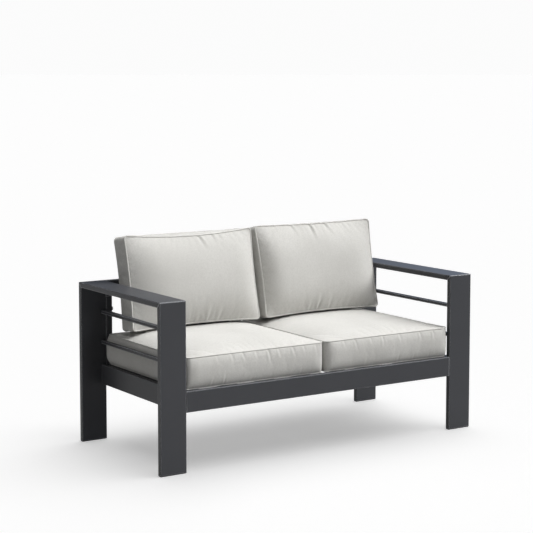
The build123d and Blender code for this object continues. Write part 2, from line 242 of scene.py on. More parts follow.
def woven_fabric(name, dark, light, pitch):
    """Plain-weave outdoor fabric, woven along the flat coordinates of each cut panel."""
    mat, nodes, links, shader = material(name)
    flat = add(nodes, "UVMap", uv_map="Flat")
    coordinates = nodes.new("ShaderNodeTexCoord")
    scale = WAVE_PERIOD / pitch
    threads = []
    for direction in ("X", "Y"):
        wave = add(nodes, "TexWave", bands_direction=direction, Scale=scale, Distortion=0.35, Detail=1.0)
        wave.inputs["Detail Scale"].default_value = 0.4
        links.new(flat.outputs["UV"], wave.inputs["Vector"])
        threads.append(wave.outputs["Fac"])
    weave = add(nodes, "Math", operation="MULTIPLY")
    links.new(threads[0], weave.inputs[0])
    links.new(threads[1], weave.inputs[1])
    slub = add(nodes, "TexNoise", Scale=160.0, Detail=3.0)
    cloud = add(nodes, "TexNoise", Scale=5.0, Detail=3.0)
    for node in (slub, cloud):
        links.new(coordinates.outputs["Object"], node.inputs["Vector"])
    tone = add(nodes, "Math", operation="MULTIPLY_ADD")
    links.new(weave.outputs["Value"], tone.inputs[0])
    tone.inputs[1].default_value = 0.5
    links.new(slub.outputs["Fac"], tone.inputs[2])
    share = add(nodes, "Math", operation="MULTIPLY")
    links.new(tone.outputs["Value"], share.inputs[0])
    links.new(cloud.outputs["Fac"], share.inputs[1])
    spread = add(nodes, "MapRange", From_Min=0.15, From_Max=0.5)
    links.new(share.outputs["Value"], spread.inputs["Value"])
    links.new(mix_colours(nodes, links, spread.outputs["Result"], dark, light), shader.inputs["Base Color"])
    shader.inputs["Roughness"].default_value = 0.88
    shader.inputs["Specular IOR Level"].default_value = 0.25
    shader.inputs["Sheen Weight"].default_value = 0.12
    shader.inputs["Sheen Roughness"].default_value = 0.5
    low = add(nodes, "Bump", Strength=0.5, Distance=0.0006)
    links.new(slub.outputs["Fac"], low.inputs["Height"])
    high = add(nodes, "Bump", Strength=0.5, Distance=0.0003)
    links.new(weave.outputs["Value"], high.inputs["Height"])
    links.new(low.outputs["Normal"], high.inputs["Normal"])
    links.new(high.outputs["Normal"], shader.inputs["Normal"])
    return mat


# Cushions

def outline_sides(width, depth, corner, bow, counts):
    """Four curves round a panel, each from the middle of one corner to the middle of the next.

    They run along the rear side leftwards, down the left side, along the front side rightwards and up the
    right side. The sides bow inwards by a share of their straight reach.
    """
    dense, marks = [], []
    for quarter in range(4):
        along, out = (width / 2, depth / 2) if quarter % 2 == 0 else (depth / 2, width / 2)
        reach, middle = along - corner, out - corner
        angles = np.linspace(0, math.pi / 2, CORNER_STEPS + 1)
        arc = np.stack([reach + corner * np.cos(angles), middle + corner * np.sin(angles)], axis=1)
        share = np.linspace(1, -1, SIDE_STEPS + 1)[1:-1]
        side = np.stack([reach * share, out - bow * reach * (1 - share**2)], axis=1)
        points = np.concatenate([arc, side])
        turn = quarter * math.pi / 2
        spin = np.array([[math.cos(turn), -math.sin(turn)], [math.sin(turn), math.cos(turn)]])
        marks.append(len(dense) + CORNER_STEPS // 2)
        dense.extend((points @ spin.T).tolist())
    dense = np.array(dense)
    curves = []
    for quarter, count in enumerate(counts):
        end = marks[(quarter + 1) % 4] + (len(dense) if quarter == 3 else 0)
        stretch = dense[np.arange(marks[quarter], end + 1) % len(dense)]
        steps = np.concatenate([[0], np.cumsum(np.linalg.norm(np.diff(stretch, axis=0), axis=1))])
        even = np.linspace(0, steps[-1], count + 1)
        curves.append(np.stack([np.interp(even, steps, stretch[:, axis]) for axis in (0, 1)], axis=1))
    return curves


def panel_grid(width, depth, corner, bow, columns, rows):
    """Flat points of a panel as a grid that follows its outline, from front left to rear right."""
    rear, left, front, right = outline_sides(width, depth, corner, bow, (columns, rows, columns, rows))
    rear, left = rear[::-1], left[::-1]
    u = np.linspace(0, 1, columns + 1)[None, :, None]
    v = np.linspace(0, 1, rows + 1)[:, None, None]
    across = (1 - v) * front[None] + v * rear[None]
    along = (1 - u) * left[:, None] + u * right[:, None]
    front_corners = (1 - u) * front[0] + u * front[-1]
    rear_corners = (1 - u) * rear[0] + u * rear[-1]
    return across + along - (1 - v) * front_corners - v * rear_corners


def seam_places(points, loop):
    """How far each flat point is from the seam and along it, and how far along it the seam's points are."""
    flat = points.reshape(-1, 2)
    away, along = np.full(len(flat), np.inf), np.zeros(len(flat))
    steps = np.roll(loop, -1, axis=0) - loop
    lengths = np.linalg.norm(steps, axis=1)
    reached = np.concatenate([[0], np.cumsum(lengths)])
    for start, step, length, before in zip(loop, steps, lengths, reached):
        share = np.clip(((flat - start) @ step) / length**2, 0, 1)
        gap = np.linalg.norm(flat - start - share[:, None] * step, axis=1)
        along = np.where(gap < away, before + share * length, along)
        away = np.minimum(away, gap)
    return away.reshape(points.shape[:2]), along.reshape(points.shape[:2]), reached


def crown(flat, height, reaches):
    """Height of a crowned panel over its seam, with a reach and a roundness of its own from each side."""
    gaps = {
        "near": flat[..., 1] - flat[:1, :, 1],
        "far": flat[-1:, :, 1] - flat[..., 1],
        "left": flat[..., 0] - flat[:, :1, 0],
        "right": flat[:, -1:, 0] - flat[..., 0],
    }
    share = np.ones(flat.shape[:2])
    for side, (reach, power) in reaches.items():
        share *= 1 - (1 - np.clip(gaps[side] / reach, 0, 1)) ** power
    return height * share


class Cushion:
    """A box cushion as a grid: a top panel, a bottom panel and a boxing between their two seams.

    Its own axes are X along the width, Y along the depth or height, and Z from the bottom panel to the top
    panel, with the lower seam at zero.
    """

    def __init__(self, cut, columns, rows, bands):
        self.cut, self.columns, self.rows, self.bands = cut, columns, rows, bands
        width, depth, boxing = cut["width"], cut["depth"], cut["boxing"]
        flat = panel_grid(width, depth, cut["corner"], cut["bow"], columns, rows)
        loop_index = (
            [(0, i) for i in range(columns)]
            + [(j, columns) for j in range(rows)]
            + [(rows, i) for i in range(columns, 0, -1)]
            + [(j, 0) for j in range(rows, 0, -1)]
        )
        self.flat, self.boxing = flat, boxing
        self.loop = np.array([flat[j, i] for j, i in loop_index])
        self.away, self.along, self.reached = seam_places(flat, self.loop)
        edge = np.roll(self.loop, -1, axis=0) - np.roll(self.loop, 1, axis=0)
        outward = np.stack([edge[:, 1], -edge[:, 0]], axis=1)
        self.outward = outward / np.linalg.norm(outward, axis=1)[:, None]
        drawn_in = self.outward_at(self.along) * np.exp(-self.away / INSET_REACH)[..., None]
        self.insets = [self.by_side(amounts) for amounts in cut["insets"]]
        if cut["straight_base"]:
            # The lower front seam doesn't bow: it runs straight over the rail
            from_front = self.loop[:, 1] - self.loop[:, 1].min()
            self.insets[0] -= from_front * np.clip(-self.outward[:, 1], 0, 1) ** 2
        ring = np.append(np.arange(len(self.loop)), 0)
        base_flat, top_flat = (
            flat - np.interp(self.along, self.reached, inset[ring])[..., None] * drawn_in
            for inset in self.insets
        )
        top = np.dstack([top_flat, boxing + crown(flat, *cut["top_crown"])])
        bottom = np.dstack([base_flat, -crown(flat, *cut["bottom_crown"])])
        bulge = self.bulge(cut["bulges"])
        points = [top.reshape(-1, 3), bottom.reshape(-1, 3)]
        for band in range(1, bands):
            share = band / bands
            reach = bulge * (1 - abs(2 * share - 1) ** cut["roundness"])
            base_inset = self.insets[0] * (1 - share) ** BASE_INSET_POWER
            reach -= base_inset + self.insets[1] * share ** TOP_INSET_POWER
            flat_ring = self.loop + reach[:, None] * self.outward
            points.append(np.column_stack([flat_ring, np.full(len(self.loop), share * boxing)]))
        self.points = np.concatenate(points)
        count = (rows + 1) * (columns + 1)
        self.top_index = np.arange(count).reshape(rows + 1, columns + 1)
        self.bottom_index = self.top_index + count
        self.top_loop = np.array([self.top_index[j, i] for j, i in loop_index])
        self.bottom_loop = self.top_loop + count
        ring = np.arange(len(self.loop))
        between = [2 * count + band * len(ring) + ring for band in range(bands - 1)]
        self.rings = np.array([self.bottom_loop, *between, self.top_loop])

    def outward_at(self, along):
        """The flat direction out of the cushion at places along the seam."""
        ring = np.append(np.arange(len(self.loop)), 0)
        parts = [np.interp(along, self.reached, self.outward[ring, axis]) for axis in (0, 1)]
        return np.stack(parts, axis=-1)

    def by_side(self, amounts):
        """An amount for each point of the loop, from the amounts for the sides that it faces."""
        x, y = self.outward.T
        facing = {"near": -y, "far": y, "left": -x, "right": x}
        parts = (amount * np.clip(facing[side], 0, 1) ** 2 for side, amount in amounts.items())
        return sum(parts, 0 * x)

    def bulge(self, bulges):
        """How far the boxing bulges at mid height, round the loop. It grows from the corners."""
        x, y = self.loop.T
        from_front = np.clip((y - y.min() - SIDE_BULGE_START) / BULGE_GROWTH, 0, 1)
        from_end = np.clip(np.minimum(x - x.min(), x.max() - x) / BULGE_GROWTH, 0, 1)
        sides_grown, ends_grown = (start * start * (3 - 2 * start) for start in (from_front, from_end))
        ends = self.by_side({side: bulges[side] for side in ("near", "far")})
        sides = self.by_side({side: bulges[side] for side in ("left", "right")})
        return ends_grown * ends + sides_grown * sides

    def faces(self):
        """Quads of the two panels and the boxing, and their flat coordinates for the weave."""
        quads, flats = [], []
        for index, flip in ((self.top_index, False), (self.bottom_index, True)):
            for j in range(self.rows):
                for i in range(self.columns):
                    around = [(j, i), (j, i + 1), (j + 1, i + 1), (j + 1, i)]
                    if flip:
                        around.reverse()
                    quads.append([index[a] for a in around])
                    flats.append([self.flat[a] for a in around])
        size, along = len(self.loop), self.reached
        for band, (lower, upper) in enumerate(zip(self.rings, self.rings[1:])):
            low, high = band / self.bands * self.boxing, (band + 1) / self.bands * self.boxing
            for i in range(size):
                j = (i + 1) % size
                quads.append([lower[i], lower[j], upper[j], upper[i]])
                flats.append([(along[i], low), (along[i + 1], low), (along[i + 1], high), (along[i], high)])
        return quads, flats

    def mesh(self, name, points):
        """The cushion's grid as a Blender object with those points."""
        quads, flats = self.faces()
        return cloth_piece(name, points, [[int(v) for v in quad] for quad in quads], flats)


def new_object(name, data):
    """A new object in the scene."""
    piece = bpy.data.objects.new(name, data)
    bpy.context.scene.collection.objects.link(piece)
    return piece


def cloth_piece(name, points, quads, flats):
    """A smooth mesh object with flat coordinates for its weave."""
    data = bpy.data.meshes.new(name)
    data.from_pydata(points.tolist(), [], quads)
    layer = data.uv_layers.new(name="Flat")
    layer.data.foreach_set("uv", np.array(flats, dtype=float).reshape(-1))
    data.polygons.foreach_set("use_smooth", [True] * len(data.polygons))
    data.update()
    return new_object(name, data)


def finer(field, axis, closed=False):
    """Doubles the points of a grid along one axis, each new one on a cubic through its four neighbours."""
    field = np.moveaxis(field, axis, 0)
    if closed:
        after, before, beyond = (np.roll(field, turn, axis=0) for turn in (-1, 1, -2))
        middle = (9 * (field + after) - before - beyond) / 16
        out = np.stack([field, middle], axis=1).reshape(-1, *field.shape[1:])
    else:
        longer = np.concatenate([2 * field[:1] - field[1:2], field, 2 * field[-1:] - field[-2:-1]])
        out = np.empty((2 * len(field) - 1, *field.shape[1:]))
        out[::2] = field
        out[1::2] = (9 * (field[:-1] + field[1:]) - longer[:-3] - longer[3:]) / 16
    return np.moveaxis(out, 0, axis)


def broad(field, rounds, closed=False):
    """The broad part of a field on a grid, whose outer rows stay where they are."""
    out = field.copy()
    for _ in range(rounds):
        inner = (out[:-2] + out[2:] + (np.roll(out, 1, axis=1) + np.roll(out, -1, axis=1))[1:-1]) / 4
        if closed:
            out[1:-1] = inner
        else:
            out[1:-1, 1:-1] = inner[:, 1:-1]
    return out


def tube(name, centres, radius, to_frame, sides=10):
    """A closed tube along a loop of points."""
    ahead = np.roll(centres, -1, axis=0) - np.roll(centres, 1, axis=0)
    ahead /= np.linalg.norm(ahead, axis=1)[:, None]
    up = np.tile([0.0, 0.0, 1.0], (len(centres), 1))
    across = np.cross(ahead, up)
    across /= np.linalg.norm(across, axis=1)[:, None]
    up = np.cross(across, ahead)
    angles = np.linspace(0, 2 * math.pi, sides, endpoint=False)
    rings = [centres + radius * (math.cos(a) * across + math.sin(a) * up) for a in angles]
    points = np.stack(rings, axis=1).reshape(-1, 3)
    size = len(centres)
    steps = np.concatenate([[0], np.cumsum(np.linalg.norm(np.diff(centres, axis=0), axis=1))])
    steps = np.append(steps, steps[-1] + np.linalg.norm(centres[0] - centres[-1]))
    quads, flats = [], []
    for i in range(size):
        j = (i + 1) % size
        for k in range(sides):
            m = (k + 1) % sides
            quads.append([i * sides + k, i * sides + m, j * sides + m, j * sides + k])
            low, high = k * radius * 2 * math.pi / sides, (k + 1) * radius * 2 * math.pi / sides
            flats.append([(steps[i], low), (steps[i], high), (steps[i + 1], high), (steps[i + 1], low)])
    return cloth_piece(name, to_frame(points), quads, flats)


def seat_place(side):
    """From a seat cushion's own axes to the frame's."""
    shift = (SEAT_OUTER_GROWTH - SEAT_INNER_GROWTH[side]) / 2
    origin = np.array([side * (SEAT_MIDDLE_X + shift), SEAT_MIDDLE_Y, SEAT_LOWER_SEAM])
    return lambda points: points + origin


def back_place(side):
    """From a back cushion's own axes, whose Z faces the sitter, to the frame's."""
    rise, run = math.cos(BACK_LEAN), math.sin(BACK_LEAN)
    middle = np.array([
        side * (BACK_INNER_OFFSET[side] + BACK_WIDTH / 2),
        BACK_FOOT_Y + BACK_HEIGHT / 2 * run,
        BACK_FOOT_Z + BACK_HEIGHT / 2 * rise,
    ])
    axes = np.array([[1, 0, 0], [0, run, rise], [0, -rise, run]])

    def place(points):
        leftward = np.clip(0.5 - points[..., 0] / BACK_WIDTH, 0, 1)
        downward = np.clip(0.5 - points[..., 1] / BACK_HEIGHT, 0, 1)
        moves = np.zeros(points.shape)
        moves[..., 0] = BACK_SKEW[side] * leftward * downward
        moves[..., 1] = BACK_STRETCH[side] * (1 - downward)
        return (points + moves) @ axes + middle

    return place


def get_points(data):
    """The mesh's points as an array."""
    points = np.empty(len(data.vertices) * 3)
    data.vertices.foreach_get("co", points)
    return points.reshape(-1, 3)


def fill(cushion, held, seed):
    """How far each point of a sewn cushion moves when it is filled: a cloth simulation with held seams."""
    start = cushion.points
    free = np.ones((len(start), 1))
    free[held] = 0
    wobble = np.random.RandomState(seed).normal(0, CLOTH_UNEVENNESS, start.shape)
    piece = cushion.mesh("Filling", start + wobble * free)
    group = piece.vertex_groups.new(name="Held")
    group.add([int(i) for i in held], 1.0, "REPLACE")
    cloth = piece.modifiers.new("Cloth", "CLOTH")
    settings = cloth.settings
    settings.quality = 5
    settings.mass = 0.3
    settings.tension_stiffness = 15
    settings.compression_stiffness = 15
    settings.shear_stiffness = 5
    settings.bending_stiffness = 0.3
    settings.use_pressure = True
    settings.uniform_pressure_force = FILL_PRESSURE
    settings.effector_weights.gravity = 0
    settings.vertex_group_mass = "Held"
    settings.pin_stiffness = 1
    settings.shrink_min = -CLOTH_EASE
    cloth.collision_settings.use_collision = False
    cloth.point_cache.frame_start, cloth.point_cache.frame_end = 1, FILL_FRAMES
    scene = bpy.context.scene
    for step in range(1, FILL_FRAMES + 1):
        scene.frame_set(step)
    evaluated = piece.evaluated_get(bpy.context.evaluated_depsgraph_get())
    moves = get_points(evaluated.data) - start
    data = piece.data
    bpy.data.objects.remove(piece)
    bpy.data.meshes.remove(data)
    scene.frame_set(1)
    return moves


def settle(coarse, moves, shares):
    """Splits the filling's moves into broad swell and fine wrinkles, weighs both, and doubles the grid."""
    out = []
    for panel, index in (("top", coarse.top_index), ("bottom", coarse.bottom_index)):
        share = shares[panel]
        field = moves[index]
        slow = broad(field, PANEL_ROUNDS)
        near = np.exp(-coarse.away / share["fade"])[..., None]
        kept = share["swell"] * slow + share["wrinkle"] * near * (field - slow)
        out.append(finer(finer(kept, 0), 1).reshape(-1, 3))
    share = shares["boxing"]
    field = moves[coarse.rings]
    slow = broad(field, BOXING_ROUNDS, closed=True)
    kept = share["swell"] * slow + share["wrinkle"] * (field - slow)
    out.append(finer(finer(kept, 0), 1, closed=True)[1:-1].reshape(-1, 3))
    return np.concatenate(out)


def gather_height(along, away, total, gathers):
    """Height of gathers, each a ridge beside a valley that fades away from its seam."""
    height = np.zeros(along.shape)
    for place, length, tall, width, slant in gathers:
        across = (along - place - slant * away + total / 2) % total - total / 2
        share = np.clip(away / length, 0, 1)
        across /= width * GATHER_SPREAD * (1 + share)
        fold = np.exp(-(across**2)) - VALLEY_DEPTH * np.exp(-((across - VALLEY_OFFSET) ** 2))
        height += tall * (1 - np.exp(-away / GATHER_RISE)) * (1 - share) ** GATHER_FADE * fold
    return height


def small_gathers(total, seed, pitch, length, tall, width):
    """A seam's many small gathers, at uneven places and of uneven sizes."""
    draw = np.random.RandomState(seed)
    gathers = []
    place = draw.uniform(0, pitch)
    while place < total:
        size = draw.uniform(SMALLEST_GATHER, 1.0) ** SIZE_POWER
        sign = 1 if draw.uniform() < 0.5 else -1
        wide = width * draw.uniform(*WIDTH_RANGE)
        slant = draw.normal(0, SLANT_SPREAD)
        gathers.append((place, length * size, sign * tall * size, wide, slant))
        place += pitch * draw.uniform(*SPACING_RANGE)
    return gathers


def normals(grid):
    """Unit normals of a grid of points."""
    across = np.gradient(grid, axis=1)
    ahead = np.gradient(grid, axis=0)
    normal = np.cross(across, ahead)
    return normal / np.linalg.norm(normal, axis=-1)[..., None]


def seam_gathers(cushion, table):
    """Gathers listed by side, as (side, share along it, length, height, width, slant), along the seam."""
    counts = [0, cushion.columns, cushion.rows, cushion.columns, cushion.rows]
    corners = [cushion.reached[count] for count in np.cumsum(counts)]
    spans = {
        "near": (corners[0], corners[1]),
        "right": (corners[1], corners[2]),
        "far": (corners[3], corners[2]),
        "left": (corners[4], corners[3]),
    }
    out = []
    for side, share, length, tall, width, slant in table:
        start, end = spans[side]
        way = 1 if end > start else -1
        out.append((start + share * (end - start), length, tall, width, way * slant))
    return out


def seam_pull(along, total, gathers):
    """How far a seam's gathers draw it inwards."""
    pull = np.zeros(along.shape)
    for place, _, tall, width, _ in gathers:
        across = (along - place + total / 2) % total - total / 2
        pull -= PULL_SHARE * abs(tall) * np.exp(-((across / (PULL_WIDTH * width)) ** 2))
    return pull


def sag(points, cut, far, near):
    """Moves the far side along Y at mid width, and all the near side.

    Each move is a pair, for the lower and the upper seam.
    """
    across = np.clip(points[:, 0] / (cut["width"] / 2), -1, 1)
    level = np.clip(points[:, 2] / cut["boxing"], 0, 1)
    share = points[:, 1] / cut["depth"]
    out = points.copy()
    out[:, 1] += (1 - across**2) * np.clip(share + 0.5, 0, 1) ** 2 * (far[0] + level * (far[1] - far[0]))
    out[:, 1] += np.clip(0.5 - share, 0, 1) ** 2 * (near[0] + level * (near[1] - near[0]))
    return out


def gather_panel(cushion, points, index, sign, gathers, all_gathers):
    """Raises a panel's gathers and draws the panel in along its gathered seam."""
    total = cushion.reached[-1]
    height = gather_height(cushion.along, cushion.away, total, gathers)
    points[index] += sign * height[..., None] * normals(points[index])
    pull = seam_pull(cushion.along, total, all_gathers) * np.exp(-cushion.away / PULL_REACH)
    drawn = pull[..., None] * cushion.outward_at(cushion.along)
    points[index] += np.concatenate([drawn, 0 * pull[..., None]], axis=-1)


def gather_boxing(cushion, points, levels, seam, gathers, all_gathers):
    """Raises a boxing's gathers along one of its seams and draws the boxing in there."""
    total = cushion.reached[-1]
    along = cushion.reached[:-1] + np.zeros(levels.shape)
    away = levels if seam == 0 else cushion.boxing - levels
    height = gather_height(along, away, total, gathers)
    height += seam_pull(along, total, all_gathers) * np.exp(-away / PULL_REACH)
    points[cushion.rings[1:-1], :2] += height[1:-1, :, None] * cushion.outward


def sewn(cushion, moves, look, seed):
    """The points of a sewn and filled cushion, and the lines of its lower and upper cord."""
    cut, total = cushion.cut, cushion.reached[-1]
    points = cushion.points + moves
    levels = np.linspace(0, cushion.boxing, cushion.bands + 1)[:, None] + np.zeros(len(cushion.loop))
    lines = []
    for seam, (index, sign) in enumerate(((cushion.bottom_index, -1), (cushion.top_index, 1))):
        tuck = np.column_stack([cushion.outward, np.full(len(cushion.outward), sign)])
        points[cushion.rings[-seam]] -= cut["tuck"] * tuck
        panel = seam_gathers(cushion, look["panel"][seam])
        panel += small_gathers(total, seed + seam, **look["small_panel"])
        boxing = seam_gathers(cushion, look["boxing"][seam])
        boxing += small_gathers(total, seed + BOXING_SEED_STEP + seam, **look["small_boxing"])
        gather_panel(cushion, points, index, sign, panel, panel + boxing)
        gather_boxing(cushion, points, levels, seam, boxing, panel + boxing)
        draw = seam_pull(cushion.reached[:-1], total, panel + boxing) + CORD_REACH - cushion.insets[seam]
        level = levels[-seam] - sign * CORD_REACH
        line = np.column_stack([cushion.loop + draw[:, None] * cushion.outward, level])
        lines.append(sag(line, cut, **look["sag"]))
    return sag(points, cut, **look["sag"]), lines


def press(points, index, above):
    """Presses a seat's top panel down to stay just under the cushion that stands on it."""
    grid = points[index]
    drop = np.zeros(grid.shape[:2])
    for j in range(grid.shape[0]):
        for i in range(grid.shape[1]):
            x, y, z = grid[j, i]
            hit = above.ray_cast(Vector((x, y, z - PRESS_DEPTH)), Vector((0, 0, 1)), PRESS_SEARCH)[0]
            if hit is not None:
                drop[j, i] = min(0, hit.z - PRESS_GAP - z)
    soft = drop.copy()
    for _ in range(PRESS_ROUNDS):
        soft = np.minimum(drop, broad(soft, 1))
    grid[..., 2] += soft
    points[index] = grid


# Gathers: side, share along it, length, height, width and slant
SEAT_LOWER_GATHERS = {
    -1.0: [
        ("near", 0.164, 0.045, 0.0028, 0.0045, 0.1), ("near", 0.254, 0.055, 0.0034, 0.0045, 0.0),
        ("near", 0.45, 0.030, 0.0016, 0.0045, 0.1), ("near", 0.60, 0.030, 0.0016, 0.0045, -0.1),
        ("near", 0.82, 0.040, 0.0023, 0.0045, 0.0), ("left", 0.45, 0.050, 0.0010, 0.0045, 0.0),
    ],
    1.0: [
        ("near", 0.30, 0.040, 0.0020, 0.0045, 0.0), ("near", 0.57, 0.050, 0.0028, 0.0045, 0.05),
        ("near", 0.70, 0.040, 0.0019, 0.0045, 0.0), ("near", 0.83, 0.030, 0.0025, 0.0042, 0.0),
        ("right", 0.40, 0.050, 0.0010, 0.0045, 0.0),
    ],
}
SEAT_UPPER_GATHERS = {
    -1.0: [
        ("near", 0.20, 0.035, 0.0019, 0.0050, 0.05), ("near", 0.306, 0.040, 0.0034, 0.0045, 0.1),
        ("near", 0.388, 0.045, 0.0031, 0.0050, 0.15), ("near", 0.485, 0.035, 0.0022, 0.0045, 0.0),
        ("near", 0.575, 0.065, 0.0040, 0.0050, 0.08), ("near", 0.65, 0.045, 0.0028, 0.0050, 0.1),
        ("near", 0.754, 0.050, 0.0034, 0.0050, 0.2), ("near", 0.84, 0.040, 0.0023, 0.0045, 0.05),
        ("near", 0.93, 0.050, 0.0019, 0.0050, 0.0),
    ],
    1.0: [
        ("near", 0.12, 0.040, 0.0025, 0.0050, 0.1), ("near", 0.21, 0.050, 0.0034, 0.0050, 0.15),
        ("near", 0.34, 0.040, 0.0022, 0.0045, 0.1), ("near", 0.44, 0.050, 0.0028, 0.0050, 0.0),
        ("near", 0.58, 0.045, 0.0025, 0.0050, 0.1), ("near", 0.75, 0.045, 0.0037, 0.0045, 0.1),
        ("near", 0.865, 0.050, 0.0031, 0.0050, 0.0),
    ],
}
BACK_PANEL_GATHERS = {
    -1.0: [
        ("far", 0.36, 0.030, 0.0010, 0.0070, 0.2), ("far", 0.53, 0.030, 0.0016, 0.0070, 0.2),
        ("far", 0.585, 0.070, 0.0046, 0.0078, 0.35), ("far", 0.69, 0.055, 0.0030, 0.0075, 0.25),
        ("far", 0.745, 0.035, 0.0016, 0.0065, 0.2), ("far", 0.86, 0.030, 0.0010, 0.0060, 0.1),
        ("near", 0.48, 0.060, 0.0022, 0.0080, 0.02), ("near", 0.56, 0.070, 0.0030, 0.0080, 0.05),
        ("near", 0.65, 0.065, 0.0024, 0.0080, 0.03), ("near", 0.82, 0.040, 0.0012, 0.0080, 0.0),
    ],
    1.0: [
        ("far", 0.17, 0.038, 0.0015, 0.0072, 0.23), ("far", 0.315, 0.050, 0.0032, 0.0070, 0.3),
        ("far", 0.365, 0.030, 0.0018, 0.0065, 0.5), ("far", 0.478, 0.085, 0.0050, 0.0078, 0.16),
        ("far", 0.52, 0.030, 0.0012, 0.0060, 0.2), ("far", 0.61, 0.055, 0.0032, 0.0072, 0.45),
        ("far", 0.757, 0.048, 0.0022, 0.0070, 0.45), ("far", 0.88, 0.030, 0.0010, 0.0060, 0.3),
        ("near", 0.18, 0.035, 0.0014, 0.0070, 0.0), ("near", 0.355, 0.055, 0.0022, 0.0075, 0.02),
        ("near", 0.43, 0.080, 0.0044, 0.0080, 0.04), ("near", 0.53, 0.065, 0.0024, 0.0080, 0.06),
    ],
}

# How far the lower and the upper seam of a back cushion move along its height, at its top and at its foot
BACK_TOP_SAG = {-1.0: (0.012, -0.008), 1.0: (0.007, 0.005)}
BACK_FOOT_SAG = (-0.003, -0.008)

# How far a panel's rounded edge reaches in from each side, and its roundness
ALL_SIDES = ("near", "far", "left", "right")
SEAT_TOP = dict(dict.fromkeys(ALL_SIDES, (0.29, 4.0)), near=(0.27, 3.0))
SEAT_BASE = dict.fromkeys(ALL_SIDES, (0.29, 8.0))
BACK_REAR = dict.fromkeys(ALL_SIDES, (0.175, 4.0))
BACK_FRONT = {
    -1.0: {"near": (0.16, 3.1), "far": (0.22, 2.9), "left": (0.19, 2.5), "right": (0.11, 3.0)},
    1.0: {"near": (0.155, 3.2), "far": (0.22, 2.9), "left": (0.15, 4.6), "right": (0.14, 2.6)},
}
CUTS = {
    "seat": dict(
        width=SEAT_WIDTH,
        depth=SEAT_DEPTH,
        boxing=SEAT_BOXING,
        corner=SEAT_CORNER,
        bow=SEAT_BOW,
        insets=(SEAT_BASE_INSET, SEAT_TOP_INSET),
        straight_base=True,
        roundness=3.5,
        tuck=SEAM_TUCK["seat"],
        top_crown=(SEAT_CROWN, SEAT_TOP),
        bottom_crown=(SEAT_BASE_DROP, SEAT_BASE),
    ),
    "back": dict(
        width=BACK_WIDTH,
        depth=BACK_HEIGHT,
        boxing=BACK_BOXING,
        corner=BACK_CORNER,
        bow=BACK_BOW,
        insets=({}, {}),
        straight_base=False,
        roundness=2.0,
        tuck=SEAM_TUCK["back"],
        bottom_crown=(BACK_REAR_CROWN, BACK_REAR),
    ),
}

# Each cushion's gathers on its panels and its boxing (those at the lower seam come first), the sag of its
# sides, and the shares of the filling's broad swell and fine wrinkles that it keeps
LOOKS = {
    "seat": {
        side: dict(
            panel=[[], []],
            boxing=[SEAT_LOWER_GATHERS[side], SEAT_UPPER_GATHERS[side]],
            small_panel=dict(pitch=0.024, length=0.035, tall=0.0004, width=0.005),
            small_boxing=dict(pitch=0.020, length=0.030, tall=0.0004, width=0.0045),
            sag=dict(far=(0.0, 0.0), near=(0.0, 0.0)),
            shares=dict(
                top=dict(swell=0.0, wrinkle=0.4, fade=0.09),
                bottom=dict(swell=0.0, wrinkle=0.0, fade=0.05),
                boxing=dict(swell=0.4, wrinkle=0.12),
            ),
        )
        for _, side in SIDES
    },
    "back": {
        side: dict(
            panel=[[], BACK_PANEL_GATHERS[side]],
            boxing=[[], []],
            small_panel=dict(pitch=0.020, length=0.030, tall=0.0004, width=0.0045),
            small_boxing=dict(pitch=0.025, length=0.035, tall=0.0004, width=0.005),
            sag=dict(far=BACK_TOP_SAG[side], near=BACK_FOOT_SAG),
            shares=dict(
                top=dict(swell=0.2, wrinkle=0.4, fade=0.05),
                bottom=dict(swell=0.0, wrinkle=0.8, fade=0.05),
                boxing=dict(swell=0.8, wrinkle=0.3),
            ),
        )
        for _, side in SIDES
    },
}


def cut_for(kind, side):
    """The measures that one cushion is cut to."""
    bulge = BULGES[kind]
    left, right = ("outer", "inner") if side < 0 else ("inner", "outer")
    bulges = {"near": bulge["near"], "far": bulge["far"], "left": bulge[left], "right": bulge[right]}
    cut = dict(CUTS[kind], bulges=bulges)
    if kind == "seat":
        cut["width"] += SEAT_INNER_GROWTH[side] + SEAT_OUTER_GROWTH
    else:
        cut["top_crown"] = (BACK_CROWN, BACK_FRONT[side])
    return cut


def filled(kind, side):
    """A cushion's fine grid, and how the filling moves its points."""
    cut, look = cut_for(kind, side), LOOKS[kind][side]
    counts = [round(cut[size] / COARSE_CELL[kind]) for size in ("width", "depth", "boxing")]
    fine = Cushion(cut, *(2 * count for count in counts))
    coarse = Cushion(cut, *counts)
    held = np.concatenate([coarse.bottom_loop, coarse.top_loop])
    if kind == "seat":
        held = np.concatenate([held, coarse.bottom_index.reshape(-1)])
    return fine, settle(coarse, fill(coarse, held, FILL_SEEDS[kind, side]), look["shares"])


def surface(pieces):
    """Objects in one searchable surface."""
    corners, quads = [], []
    for piece in pieces:
        quads += [[v + len(corners) for v in face.vertices] for face in piece.data.polygons]
        corners += [vertex.co for vertex in piece.data.vertices]
    return BVHTree.FromPolygons(corners, quads)


